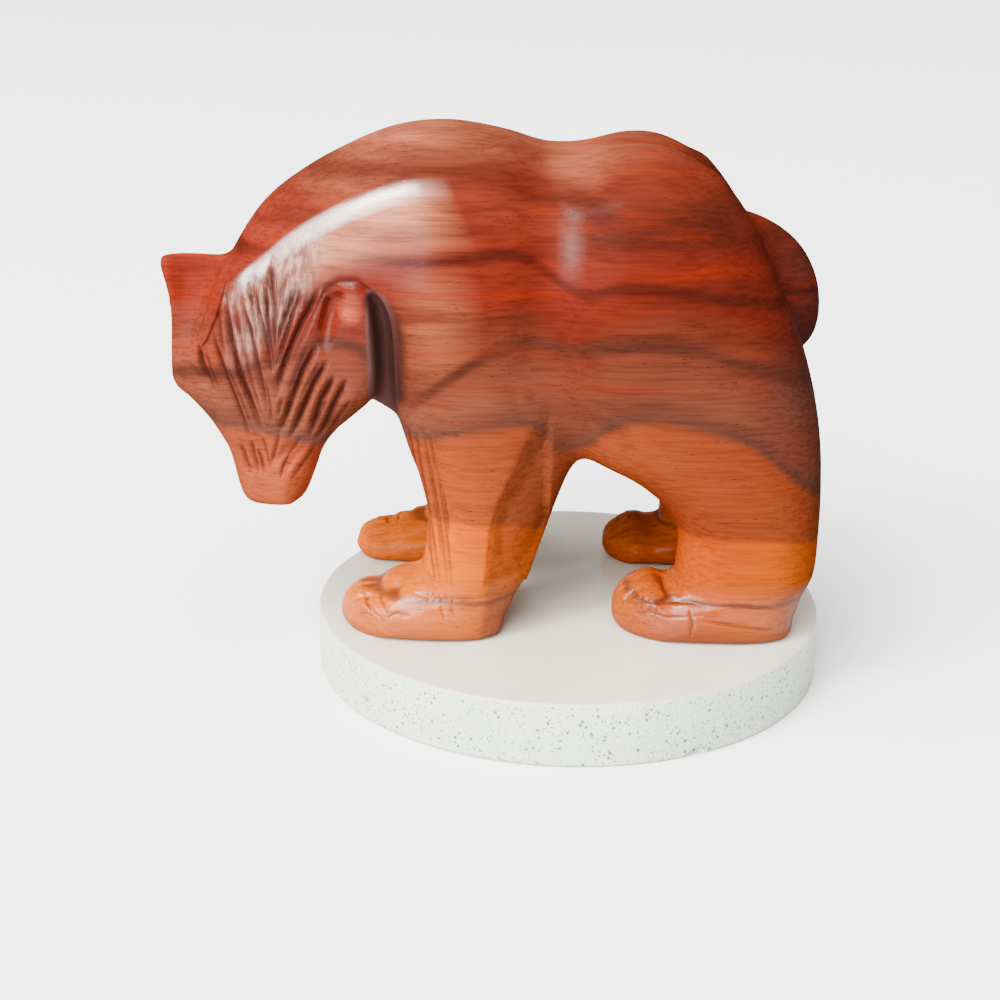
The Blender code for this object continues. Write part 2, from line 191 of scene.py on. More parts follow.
def side_of(a, b, path):
    """The distance from a path, positive on its left as it is drawn, and its share along it."""
    best = np.full(len(a), 1e9)
    signed = np.zeros(len(a))
    share = np.zeros(len(a))
    lengths = [math.dist(p, q) for p, q in zip(path, path[1:])]
    gone = 0.0
    for (a1, b1), (a2, b2), length in zip(path, path[1:], lengths):
        da, db = a2 - a1, b2 - b1
        t = np.clip(((a - a1) * da + (b - b1) * db) / (length * length), 0, 1)
        off_a, off_b = a - a1 - t * da, b - b1 - t * db
        off = np.hypot(off_a, off_b)
        closer = off < best
        best = np.where(closer, off, best)
        signed = np.where(closer, np.sign(da * off_b - db * off_a) * off, signed)
        share = np.where(closer, (gone + t * length) / sum(lengths), share)
        gone += length
    return signed, share


# The locks of hair down the face: places (across, level) along each cut, top to foot.
LOCKS = (
    ((13.5, 58.5), (12.7, 54.8), (9.8, 49.8)),
    ((10.2, 61.6), (8.1, 55.7), (5.8, 49.2), (3.0, 40.0)),
    ((7.3, 69.4), (5.7, 59.7), (4.1, 53.0), (1.6, 46.0), (0.1, 41.4)),
    ((3.5, 69.0), (1.5, 62.7), (0.5, 55.8), (-0.7, 49.6), (-1.5, 46.0)),
    ((1.2, 71.6), (0.0, 67.0), (-1.3, 62.0), (-2.6, 55.0)),
    ((-1.6, 71.6), (-1.8, 64.3), (-2.2, 59.0), (-2.8, 54.6)),
    ((-2.2, 77.0), (-2.4, 73.0), (-3.2, 68.0), (-3.1, 62.0), (-3.0, 56.5)),
    ((-7.5, 71.2), (-6.2, 68.0), (-4.3, 63.2), (-3.2, 59.0)),
    ((-8.5, 71.4), (-7.1, 67.4), (-5.2, 61.6), (-3.2, 55.4)),
    ((-12.2, 72.2), (-8.9, 65.7), (-5.8, 58.9), (-4.0, 53.6), (-2.7, 48.6)),
    ((-11.5, 60.6), (-8.6, 55.5), (-6.4, 49.8), (-3.3, 42.0)),
    ((-13.5, 57.7), (-10.8, 53.1), (-7.6, 46.1), (-5.4, 41.0)),
    ((-14.8, 54.5), (-12.0, 49.6), (-10.0, 44.3), (-9.2, 41.6)),
    ((-17.0, 53.8), (-14.4, 48.8), (-11.2, 42.4), (-10.2, 40.4)),
)
# Lighter cuts of the knife between the locks, and down the muzzle.
STROKES = (
    ((5.4, 70.2), (4.0, 63.2), (3.0, 58.6), (1.6, 54.4)),
    ((1.9, 72.2), (0.9, 66.4), (0.2, 61.2)),
    ((-5.7, 74.4), (-4.6, 69.9), (-3.3, 63.0)),
    ((-12.9, 71.4), (-10.2, 65.2), (-7.6, 59.7), (-6.3, 56.4)),
    ((8.9, 66.0), (8.0, 61.0), (7.0, 56.6)),
    ((11.6, 57.6), (10.4, 53.6), (8.6, 50.0)),
    ((6.6, 55.0), (4.2, 48.4), (2.4, 43.6)),
    ((2.6, 57.0), (1.6, 51.0), (0.0, 45.6)),
    ((-9.9, 60.4), (-7.6, 55.2), (-5.6, 50.6)),
    ((-12.2, 57.4), (-9.6, 52.6), (-7.6, 48.6)),
    ((-17.6, 49.4), (-14.6, 45.4), (-12.0, 41.8)),
    ((-13.2, 50.2), (-11.4, 46.4), (-10.2, 43.6)),
    ((-1.0, 53.4), (-1.6, 49.0), (-2.0, 44.0)),
    ((-4.4, 49.6), (-3.2, 45.4)),
    ((5.3, 38.4), (4.8, 34.9), (3.8, 32.0)),
    ((2.8, 40.0), (2.6, 36.5), (1.8, 32.6)),
    ((0.3, 41.0), (-0.5, 36.3), (-1.0, 33.8)),
    ((1.6, 38.0), (1.0, 35.0), (0.4, 32.4)),
    ((-3.4, 42.0), (-2.4, 38.7), (-0.8, 34.8)),
    ((-7.6, 41.0), (-5.1, 37.4), (-3.6, 34.6), (-2.9, 32.0)),
    ((-10.1, 39.8), (-8.5, 36.4), (-7.2, 33.8), (-6.0, 31.6)),
)
# Each kind of cut: half its width, how hollow its walls are, and its depth.
LOCK_CUT = (1.25, 1.4, 1.05)
STROKE_CUT = (0.9, 1.5, 0.5)
# The hair stands proud of its right ear along this edge, and its left ear is cut clear of the neck.
HAIR_EDGE = ((7.2, 73.0), (7.9, 70.0), (9.0, 65.6), (11.6, 60.0), (13.6, 57.6))
LEFT_EAR_TOP = ((-12.2, 69.6), (-13.4, 71.6), (-15.8, 73.0), (-19.2, 73.2), (-21.6, 71.2))


def cut_the_face(points, normals):
    """Returns how far each point is cut back along the face, and how much painted shade lies in the cut,
    partly the dark finish gathered in it.
    """
    across, ahead = across_and_ahead(points)
    level = points[:, 2]
    facing = step(2.2 * (normals @ FORWARD)) * step((ahead + 3) / 3) * (level > 28)
    deep = np.zeros(len(points))
    dark = np.zeros(len(points))
    half_width, power, depth = LOCK_CUT
    for path in LOCKS:
        cut = cut_line(across, level, path, half_width, power)
        deep = np.maximum(deep, depth * cut)
        dark = np.maximum(dark, np.minimum(1.0, 1.5 * cut ** 1.6))
    half_width, power, depth = STROKE_CUT
    for path in STROKES:
        cut = cut_line(across, level, path, half_width, power)
        deep = np.maximum(deep, depth * cut)
        dark = np.maximum(dark, 0.8 * cut ** 1.3)
    off, share = side_of(across, level, HAIR_EDGE)
    ends = step(share / 0.15) * step((1 - share) / 0.12) * (np.abs(off) < 7)
    ledge = ends * np.where(off < 0, step(-off / 0.45) * np.exp(off / 2.6), 0.0)
    ear_top = cut_line(across, level, LEFT_EAR_TOP, 1.3, 1.2, (0.1, 0.1))
    return (deep + 0.75 * ledge + 0.8 * ear_top) * facing, np.maximum(dark, 0.5 * ear_top) * facing


# Strands of hair down the front of each foreleg: places (along, level).
FORELEG_STRANDS = (
    ((-32.6, 36.8), (-29.8, 26.0), (-28.4, 16.6)),
    ((-31.2, 38.0), (-28.2, 20.5), (-26.5, 11.2)),
    ((-29.2, 39.6), (-26.6, 23.3), (-25.1, 12.5)),
    ((-27.6, 37.9), (-25.3, 21.6), (-24.1, 11.1)),
    ((-33.4, 44.0), (-31.8, 34.0)),
    ((-31.8, 43.5), (-30.4, 33.0), (-29.2, 27.0)),
    ((-30.2, 44.0), (-28.5, 33.0), (-27.4, 26.0)),
    ((-28.2, 30.0), (-26.4, 18.0)),
    ((-26.4, 33.0), (-24.9, 23.0)),
    ((-29.6, 21.0), (-27.7, 12.5)),
    ((-28.9, 43.0), (-27.6, 35.5)),
)
# Cuts round the toes and paws: places (along, level), half width, depth.
FORE_PAW_CUTS = (
    (((-37.4, 5.2), (-35.4, 6.2), (-32.6, 5.8)), 0.8, 0.45),
    (((-45.2, 4.2), (-43.0, 5.2), (-40.6, 4.6)), 0.6, 0.25),
    (((-42.4, 8.2), (-40.6, 6.0), (-38.4, 4.6)), 0.7, 0.35),
    (((-39.6, 8.8), (-38.0, 6.8), (-37.0, 5.2)), 0.6, 0.30),
    (((-32.4, 9.8), (-28.0, 9.3), (-23.0, 9.6), (-16.0, 9.8)), 0.6, 0.25),
    (((-29.6, 10.2), (-29.0, 8.8)), 0.4, 0.30),
    (((-28.4, 10.4), (-27.6, 8.6)), 0.4, 0.30),
    (((-27.2, 10.2), (-26.4, 8.4)), 0.4, 0.35),
    (((-25.6, 10.4), (-25.2, 8.6)), 0.4, 0.30),
    (((-24.4, 10.4), (-24.0, 8.6)), 0.4, 0.30),
    (((-26.6, 8.2), (-25.6, 5.0)), 0.45, 0.22),
    (((-24.6, 8.4), (-23.6, 5.4)), 0.45, 0.22),
)
HIND_PAW_CUTS = (
    (((16.4, 12.2), (18.4, 11.0), (19.4, 9.4), (19.0, 8.4)), 0.9, 0.7),
    (((9.4, 6.5), (13.7, 8.2), (18.0, 8.4), (23.7, 8.9), (28.7, 8.3)), 0.7, 0.40),
    (((9.3, 4.9), (13.7, 6.4), (18.7, 5.8), (26.7, 6.6)), 0.6, 0.30),
    (((25.7, 6.0), (33.8, 4.4), (43.0, 2.8)), 0.5, 0.22),
    (((23.6, 7.6), (24.3, 5.0), (23.9, 1.9)), 0.6, 0.35),
    (((28.0, 8.4), (33.6, 8.9), (38.7, 8.3), (44.1, 6.8)), 0.5, 0.28),
    (((10.4, 6.8), (13.0, 9.4)), 0.4, 0.25),
    (((11.4, 5.8), (14.6, 9.6)), 0.4, 0.25),
    (((13.0, 5.6), (16.2, 9.4)), 0.4, 0.25),
    (((14.6, 5.2), (17.4, 8.6)), 0.4, 0.25),
)
PAW_TOP = 13.0
HEEL_ROUNDING = 0.3
# Each paw in plan: its middle, half its length and breadth, and how round its toes and heel are.
PAW_PLANS = (
    (-30.4, 20.0, 17.2, 12.9, 1.9, 2.5),
    (27.4, 20.0, 18.8, 12.8, 2.0, 2.1),
)


def round_the_paws(points):
    """Rounds the toes and heels in plan, and eases the edge of each sole."""
    moved = points.copy()
    along, level = points[:, 0], points[:, 2]
    for middle, out, half_length, half_breadth, toes, heel in PAW_PLANS:
        for hand in (-1.0, 1.0):
            near = np.abs(along - middle) < half_length + 4
            near &= (points[:, 1] * hand > 4) & (level < PAW_TOP)
            dx, dy = along[near] - middle, points[near, 1] - hand * out
            power = np.where(dx < 0, toes, heel)
            reach = (np.abs(dx / half_length) ** power + np.abs(dy / half_breadth) ** power) ** (1 / power)
            sole = 1 - 0.06 * np.clip((2.4 - level[near]) / 2.4, 0, 1) ** 2
            shrink = np.minimum(1.0, sole / np.maximum(reach, 0.01))
            amount = step((PAW_TOP - level[near]) / 6) * np.where(dx < 0, 1.0, HEEL_ROUNDING)
            shrink = 1 - amount * (1 - shrink)
            moved[near, 0] = middle + dx * shrink
            moved[near, 1] = hand * out + dy * shrink
    return moved


# The flat on the near foreleg faces this far back and this far out to the left.
FLAT_BACK = 0.62
FLAT_OUT = 0.78


def flatten_the_foreleg(points):
    """One broad cut of the chisel down the back of the outer face of the near foreleg."""
    along, level = points[:, 0], points[:, 2]
    edge = np.interp(level, (10, 24, 30, 36, 46), (-18.0, -16.8, -15.4, -13.2, -10.4))
    face = -32.7 + 0.062 * level
    proud = (along - edge) * FLAT_BACK - (points[:, 1] - face) * FLAT_OUT
    where = (along > edge) & (along < -5) & (points[:, 1] < -18) & (level > 9)
    amount = step((level - 9) / 5) * step((50 - level) / 10)
    off = np.where(where, np.clip(proud, 0, 1.6) * 0.9 * amount, 0.0)
    moved = points.copy()
    moved[:, 0] -= off * FLAT_BACK
    moved[:, 1] += off * FLAT_OUT
    return moved


def taper_the_muzzle(points):
    """Draws the sides of the muzzle in towards the lips, its left side more."""
    across, ahead = across_and_ahead(points)
    level = points[:, 2]
    on_muzzle = (level > 22) & (points[:, 0] < -46)
    left = np.interp(level, (28, 31, 34, 38, 43), (1.7, 1.5, 1.1, 0.5, 0.0)) * step((-across - 2) / 5)
    right = np.interp(level, (29, 34, 39), (1.0, 0.5, 0.0)) * step((across - 1) / 4)
    return points + np.where(on_muzzle, left - right, 0.0)[:, None] * ACROSS


def cut_the_legs(points, normals):
    """Returns how far each point of the legs and paws is cut in, and how much painted shade lies in the
    cut, partly the dark finish gathered in it.
    """
    along, level = points[:, 0], points[:, 2]
    outward = step(2.5 * normals[:, 1] * np.sign(points[:, 1]) + 0.4)
    upward = step(1.6 * normals[:, 2])
    deep = np.zeros(len(points))
    dark = np.zeros(len(points))
    on_leg = outward * (level < 46)
    for path in FORELEG_STRANDS:
        cut = cut_line(along, level, path, 0.55, 1.2, (0.3, 0.3)) * on_leg
        deep, dark = np.maximum(deep, 0.30 * cut), np.maximum(dark, 0.75 * cut)
    on_paw = np.maximum(outward, upward) * (level < PAW_TOP) * (np.abs(points[:, 1]) > 20)
    for path, half_width, depth in FORE_PAW_CUTS + HIND_PAW_CUTS:
        cut = cut_line(along, level, path, half_width, 1.4) * on_paw
        deep, dark = np.maximum(deep, depth * cut), np.maximum(dark, 0.8 * cut ** 1.5)
    # A scoop behind the toes of each fore paw, with painted shade in it.
    reach = np.hypot((along + 36.0) / 2.2, (np.abs(points[:, 1]) - 27.0) / 3.4)
    scoop = step(1.1 - reach) * (level < PAW_TOP) * (normals[:, 2] > 0.0)
    return deep + 1.2 * scoop, np.maximum(dark, 0.35 * scoop)


def dark_channel(points):
    """How much painted shade lies in the channel behind the left ear and on its far bank, 0 to 1."""
    along, level = points[:, 0], points[:, 2]
    bank = np.interp(level, (46, 50, 62, 66, 70, 72), (-34.2, -32.8, -32.2, -33.2, -35.8, -38.6))
    across = step((along + 41.4) / 0.8) * step((bank - along) / 2.2)
    return across * (points[:, 1] < -10) * step((72.4 - level) / 1.5) * step((level - 44) / 2)


def finish_mesh(bear, triangles):
    thin = bear.modifiers.new("thin", "DECIMATE")
    bear.data.calc_loop_triangles()
    thin.ratio = min(1.0, triangles / len(bear.data.loop_triangles))
    apply_modifiers(bear)
    bpy.ops.object.shade_smooth()


def carved_bear():
    bear = smoothed_copy("bear", "bear_carving")
    polish(bear)
    refine_where_carved(bear)
    mesh = bear.data
    points, normals = points_of(mesh), normals_of(mesh)
    face, face_shade = cut_the_face(points, normals)
    legs, legs_shade = cut_the_legs(points, normals)
    channel = dark_channel(points)
    moved = taper_the_muzzle(flatten_the_foreleg(round_the_paws(points)))
    moved = moved - face[:, None] * FORWARD - legs[:, None] * normals
    moved[:, 2] = np.maximum(moved[:, 2], 0.0)
    put_points(mesh, moved)
    # The painted shade in the cuts, partly the dark finish gathered in them, goes on the mesh for the
    # material.
    dark = mesh.attributes.new("cut", "FLOAT", "POINT")
    dark.data.foreach_set("value", np.maximum(face_shade, legs_shade).astype(np.float32))
    # The painted shade in the channel behind the left ear goes on the mesh for the material.
    shade_in_channel = mesh.attributes.new("channel", "FLOAT", "POINT")
    shade_in_channel.data.foreach_set("value", channel.astype(np.float32))
    finish_mesh(bear, MOST_TRIANGLES)
    bear.data.materials.clear()
    bear.data.materials.append(rosewood())
    return bear


# Helpers for the materials


def new_material(name):
    made = bpy.data.materials.new(name)
    made.use_nodes = True
    return made, made.node_tree, made.node_tree.nodes["Principled BSDF"]


def calc(tree, operation, a, b=None, clamp=False):
    node = tree.nodes.new("ShaderNodeMath")
    node.operation = operation
    node.use_clamp = clamp
    for socket, value in zip(node.inputs, (a, b)):
        if value is None:
            continue
        if isinstance(value, (int, float)):
            socket.default_value = value
        else:
            tree.links.new(value, socket)
    return node.outputs[0]


def product(tree, first, *others):
    """All the values multiplied together."""
    for other in others:
        first = calc(tree, "MULTIPLY", first, other)
    return first


def gap(tree, value, middle):
    """How far a value is from a middle, to either side."""
    return calc(tree, "ABSOLUTE", calc(tree, "SUBTRACT", value, middle))


def combined(tree, x, y, z):
    node = tree.nodes.new("ShaderNodeCombineXYZ")
    for socket, value in zip(node.inputs, (x, y, z)):
        if isinstance(value, float):
            socket.default_value = value
        else:
            tree.links.new(value, socket)
    return node.outputs[0]


def oval(tree, along, level, middle, radii):
    """How far out of the middle of an oval each place is, in the oval's own radii."""
    out = calc(tree, "DIVIDE", calc(tree, "SUBTRACT", along, middle[0]), radii[0])
    up = calc(tree, "DIVIDE", calc(tree, "SUBTRACT", level, middle[1]), radii[1])
    node = tree.nodes.new("ShaderNodeVectorMath")
    node.operation = "LENGTH"
    tree.links.new(combined(tree, out, 0.0, up), node.inputs[0])
    return node.outputs["Value"]


def on_the_mesh(tree, name):
    """A value that the mesh carries at each of its points."""
    node = tree.nodes.new("ShaderNodeAttribute")
    node.attribute_name = name
    return node.outputs["Fac"]


def stretched(tree, place, scale, turn=0.0):
    node = tree.nodes.new("ShaderNodeMapping")
    node.inputs["Scale"].default_value = scale
    node.inputs["Rotation"].default_value = (0.0, turn, 0.0)
    tree.links.new(place, node.inputs["Vector"])
    return node.outputs[0]


def noise(tree, place, scale=1.0, detail=3.0, roughness=0.5, distortion=0.0):
    node = tree.nodes.new("ShaderNodeTexNoise")
    node.inputs["Scale"].default_value = scale
    node.inputs["Detail"].default_value = detail
    node.inputs["Roughness"].default_value = roughness
    node.inputs["Distortion"].default_value = distortion
    tree.links.new(place, node.inputs["Vector"])
    return node.outputs["Fac"]


def remap(tree, value, low, high, to_low=0.0, to_high=1.0):
    node = tree.nodes.new("ShaderNodeMapRange")
    for name, amount in (("From Min", low), ("From Max", high), ("To Min", to_low), ("To Max", to_high)):
        node.inputs[name].default_value = amount
    tree.links.new(value, node.inputs["Value"])
    return node.outputs["Result"]


def mixed(tree, factor, first, second, blend="MIX"):
    node = tree.nodes.new("ShaderNodeMix")
    node.data_type = "RGBA"
    node.blend_type = blend
    sockets = {socket.identifier: socket for socket in node.inputs}
    for name, value in (("Factor_Float", factor), ("A_Color", first), ("B_Color", second)):
        if isinstance(value, (int, float)):
            sockets[name].default_value = value
        elif isinstance(value, tuple):
            sockets[name].default_value = (*value, 1.0)
        else:
            tree.links.new(value, sockets[name])
    return next(socket for socket in node.outputs if socket.identifier == "Result_Color")


def ramp(tree, value, stops, ease="LINEAR"):
    node = tree.nodes.new("ShaderNodeValToRGB")
    node.color_ramp.interpolation = ease
    elements = node.color_ramp.elements
    while len(elements) > 1:
        elements.remove(elements[-1])
    elements[0].position = stops[0][0]
    elements[0].color = (*stops[0][1], 1.0)
    for position, colour in stops[1:]:
        elements.new(position).color = (*colour, 1.0)
    tree.links.new(value, node.inputs["Fac"])
    return node.outputs["Color"]


def bumped(tree, height, distance, strength=1.0, under=None):
    node = tree.nodes.new("ShaderNodeBump")
    node.inputs["Strength"].default_value = strength
    node.inputs["Distance"].default_value = distance
    tree.links.new(height, node.inputs["Height"])
    if under is not None:
        tree.links.new(under, node.inputs["Normal"])
    return node.outputs["Normal"]


def object_place(tree):
    """Object coordinates in millimetres."""
    node = tree.nodes.new("ShaderNodeTexCoord")
    return stretched(tree, node.outputs["Object"], (1000.0, 1000.0, 1000.0))


# Growth layers of the wood by their level above the ground, in millimetres, with their colours.
LAYERS = (
    (12.0, (0.331, 0.0561, 0.0024)),
    (20.0, (0.462, 0.0828, 0.0017)),
    (30.0, (0.512, 0.0864, 0.0014)),
    (37.2, (0.473, 0.0690, 0.0014)),
    (38.4, (0.247, 0.0448, 0.0108)),
    (46.0, (0.240, 0.0431, 0.0105)),
    (54.2, (0.210, 0.0362, 0.0105)),
    (56.2, (0.081, 0.0284, 0.0178)),
    (60.0, (0.135, 0.0364, 0.0189)),
    (68.0, (0.139, 0.0304, 0.0153)),
    (76.0, (0.120, 0.0197, 0.0090)),
    (80.0, (0.121, 0.0126, 0.0059)),
    (90.0, (0.140, 0.0142, 0.0069)),
    (96.0, (0.135, 0.0171, 0.0075)),
    (103.0, (0.128, 0.0181, 0.0081)),
    (108.0, (0.195, 0.0462, 0.0228)),
    (116.0, (0.328, 0.0855, 0.0432)),
)
LOWEST_LAYER = 12.0
LAYER_SPAN = 104.0
# The levels in LAYERS at which the orange wood of the legs and the brown wood of the belly end.
LEG_WOOD_TOP = 37.8
BELLY_WOOD_TOP = 55.2
# Painted shade along the bear: the wood is painted darker towards the rump, which turns away from the
# light, by the share of the way along the bear.
SHADE_TOWARDS_RUMP = (
    (0.00, (0.98, 0.98, 0.98)), (0.26, (0.95, 0.95, 0.95)), (0.36, (0.82, 0.84, 0.84)),
    (0.50, (0.74, 0.74, 0.74)), (0.60, (0.68, 0.68, 0.68)), (0.82, (0.62, 0.62, 0.62)),
    (0.94, (0.46, 0.46, 0.48)), (1.00, (0.32, 0.36, 0.40)),
)
# Where layers run along the bear: places (along, level). The same ground runs under each.
NOSE_END = -85.0
TAIL_END = 50.0
HIGHEST_LEVEL = 120.0
LEG_LAYER = ((-85, 37.0), (-30, 38.7), (-12, 37.8), (-5, 34.6), (15, 35.6), (30, 36.6), (50, 34.6))
BELLY_LAYER = (
    (-85, 55.0), (-60, 54.9), (-48, 52.0), (-29, 55.4), (-17, 57.8), (-9, 58.0), (-3, 52.6),
    (1, 52.6), (6, 57.0), (13, 59.7), (21, 59.3), (29, 57.4), (36, 53.9), (45, 46.4), (50, 43.0),
)
FLANK_LINE = (
    (-85, 66.4), (-68, 67.8), (-56, 72.0), (-45, 74.4), (-39, 70.0), (-34, 63.0), (-25, 68.0),
    (-17, 73.4), (-11, 74.8), (-2, 73.8), (5, 75.0), (13, 75.7), (21, 74.9), (33, 71.3), (50, 66.0),
)
HIP_LINE = (
    (-85, 90.0), (-46, 91.6), (-30, 90.9), (-12, 91.8), (-5, 88.0), (0, 85.0), (8, 86.8), (16, 86.3),
    (29, 84.0), (50, 80.0),
)
BACK_LINE = (
    (-85, 101.0), (-40, 107.0), (-19, 106.5), (-8, 103.4), (1, 101.5), (8, 97.0), (22, 97.6),
    (33, 94.0), (50, 88.0),
)
# The dark lines between layers: where each runs, half its thickness, its strength and its colour.
DARK_LINES = (
    (FLANK_LINE, 2.3, 0.85, (0.038, 0.0105, 0.0065)),
    (HIP_LINE, 1.7, 0.70, (0.028, 0.0050, 0.0030)),
    (BACK_LINE, 3.8, 0.70, (0.040, 0.0060, 0.0036)),
)
FOOT_LINE_LEVEL = 22.3
# The glossiest polish of the shoulder, and the painted sheen under the bright edge of its highlight, end
# along this line.
SHOULDER_LINE = (
    (-85, 74.0), (-74, 80.0), (-60.6, 90.2), (-56.8, 93.4), (-49.9, 97.8), (-42.2, 101.4),
    (-34.6, 104.0), (-28.0, 104.8), (-10.0, 104.0), (50, 100.0),
)


def run_along(tree, x, places):
    """The level at which a layer lies, by how far along the bear it is."""
    node = tree.nodes.new("ShaderNodeFloatCurve")
    curve = node.mapping.curves[0]
    node.mapping.use_clip = True
    for index, (along, level) in enumerate(places):
        at, height = (along - NOSE_END) / (TAIL_END - NOSE_END), level / HIGHEST_LEVEL
        if index < 2:
            curve.points[index].location = (at, height)
        else:
            curve.points.new(at, height)
    node.mapping.update()
    share = remap(tree, x, NOSE_END, TAIL_END)
    tree.links.new(share, node.inputs["Value"])
    return calc(tree, "MULTIPLY", node.outputs["Value"], HIGHEST_LEVEL)


def layered_wood(tree, x, level):
    """The colours of the growth layers, and the painted shade that darkens the wood from head to rump."""
    leg = run_along(tree, x, LEG_LAYER)
    belly = run_along(tree, x, BELLY_LAYER)
    # Between the layers the level is told by its share of the way from one to the next.
    low = product(tree, calc(tree, "DIVIDE", level, leg), LEG_WOOD_TOP)
    low = calc(tree, "MINIMUM", low, LEG_WOOD_TOP)
    above_leg = calc(tree, "SUBTRACT", level, leg)
    middle = calc(tree, "DIVIDE", above_leg, calc(tree, "SUBTRACT", belly, leg), clamp=True)
    middle = product(tree, middle, BELLY_WOOD_TOP - LEG_WOOD_TOP)
    upper = calc(tree, "MAXIMUM", calc(tree, "SUBTRACT", level, belly), 0.0)
    height = calc(tree, "ADD", calc(tree, "ADD", low, middle), upper)
    share = calc(tree, "DIVIDE", calc(tree, "SUBTRACT", height, LOWEST_LAYER), LAYER_SPAN)
    colour = ramp(tree, share, [((top - LOWEST_LAYER) / LAYER_SPAN, tint) for top, tint in LAYERS])
    shade_along = ramp(tree, remap(tree, x, NOSE_END, 55.0), SHADE_TOWARDS_RUMP)
    return mixed(tree, 1.0, colour, shade_along, "MULTIPLY")


def tints_and_painted_light(tree, colour, x, y, z, level):
    """The wood with its own lighter and darker places, and with painted light and shade on the muzzle, the
    left ear, the neck behind it and the backs of the forelegs.
    """
    hind_leg = product(tree, remap(tree, x, 8.0, 16.0), remap(tree, x, 40.0, 30.0))
    hind_leg = product(tree, hind_leg, remap(tree, z, 52.0, 36.0))
    colour = mixed(tree, hind_leg, colour, (0.80, 0.68, 0.80), "MULTIPLY")
    grey_rump = product(tree, remap(tree, x, 36.0, 44.0), remap(tree, z, 56.0, 66.0))
    colour = mixed(tree, grey_rump, colour, (0.80, 1.45, 1.95), "MULTIPLY")

    # Painted light on the muzzle: paler and greyer, most towards the neck, where light thrown up from the
    # plinth falls.
    lit_muzzle = product(tree, remap(tree, x, -44.0, -50.0), remap(tree, z, 57.0, 52.0))
    its_tint = mixed(tree, remap(tree, x, -66.0, -50.0), (0.90, 0.99, 1.50), (1.50, 1.50, 2.175))
    colour = mixed(tree, lit_muzzle, colour, its_tint, "MULTIPLY")
    # A painted highlight on the cup of the left ear.
    left_ear_highlight = remap(tree, oval(tree, x, z, (-44.1, 81.3), (3.0, 3.4)), 1.0, 0.2)
    left_ear_highlight = product(tree, left_ear_highlight, remap(tree, y, -14.0, -16.0), 0.8)
    colour = mixed(tree, left_ear_highlight, colour, (0.42, 0.075, 0.035))

    high_rump = product(
        tree,
        remap(tree, gap(tree, level, 97.5), 6.5, 2.5),
        remap(tree, gap(tree, x, 16.0), 19.0, 12.0),
    )
    colour = mixed(tree, high_rump, colour, (0.50, 0.78, 0.95), "MULTIPLY")
    # Tan wood on the neck behind the ear, partly a painted soft reflection of the window.
    tan_and_sheen_behind_ear = remap(tree, oval(tree, x, level, (-27.5, 79.0), (9.0, 13.0)), 1.1, 0.3)
    colour = mixed(tree, product(tree, tan_and_sheen_behind_ear, 0.35), colour, (0.330, 0.1000, 0.0400))

    # Painted shade on the back of each foreleg, which faces away from the light, behind an edge that leans
    # more above the knee.
    below_knee = calc(tree, "ADD", -20.4, product(tree, z, 0.11))
    above_knee = calc(tree, "ADD", -31.4, product(tree, z, 0.367))
    behind = calc(tree, "SUBTRACT", x, calc(tree, "MAXIMUM", below_knee, above_knee))
    shade_behind_foreleg = product(tree, remap(tree, behind, -0.4, 0.8), remap(tree, x, 2.0, -4.0))
    shade_behind_foreleg = product(tree, shade_behind_foreleg, remap(tree, z, 66.0, 54.0), 0.5)
    return mixed(tree, shade_behind_foreleg, colour, (0.085, 0.0220, 0.0100))


def streaked(tree, colour, broad, z):
    """The wood with dark and bright streaks along the grain, stronger in the upper wood."""
    above = remap(tree, z, 56.0, 80.0, 0.2, 1.0)
    dark = product(tree, remap(tree, broad, 0.50, 0.66), above, 0.6)
    colour = mixed(tree, dark, colour, (0.040, 0.0060, 0.0035))
    bright = product(tree, remap(tree, broad, 0.46, 0.32), above, 0.6)
    return mixed(tree, bright, colour, (0.150, 0.0110, 0.0020))


def dark_lined(tree, colour, broad, x, level):
    """The wood with the dark lines between its layers."""
    patchy = remap(tree, broad, 0.30, 0.52, 0.45, 1.0)
    for line, thick, strength, ink in DARK_LINES:
        off = gap(tree, level, run_along(tree, x, line))
        here = product(tree, remap(tree, off, thick, thick * 0.25), patchy, strength)
        colour = mixed(tree, here, colour, ink)
    foot_line = remap(tree, gap(tree, level, FOOT_LINE_LEVEL), 0.8, 0.2)
    return mixed(tree, product(tree, foot_line, 0.75), colour, (0.07, 0.016, 0.007))


def pores(tree, place):
    """Where the pores lie: short dashes along the grain."""
    cells = tree.nodes.new("ShaderNodeTexVoronoi")
    cells.inputs["Scale"].default_value = 1.0
    tree.links.new(stretched(tree, place, (0.28, 1.7, 1.9)), cells.inputs["Vector"])
    crowd = noise(tree, stretched(tree, place, (0.05, 0.12, 0.16)), 1.0, 2.0, 0.5)
    dashes = remap(tree, cells.outputs["Distance"], 0.20, 0.09)
    return product(tree, dashes, remap(tree, crowd, 0.44, 0.58))


def left_shoulder(tree, x, y, z):
    """Where the left shoulder and the mane are, ahead of a slanting edge."""
    slant = calc(tree, "SUBTRACT", x, product(tree, calc(tree, "SUBTRACT", 97.0, z), 0.5))
    ahead = product(tree, remap(tree, slant, -21.0, -31.0), remap(tree, x, -70.0, -64.0))
    return product(tree, ahead, remap(tree, y, -7.0, -13.0))


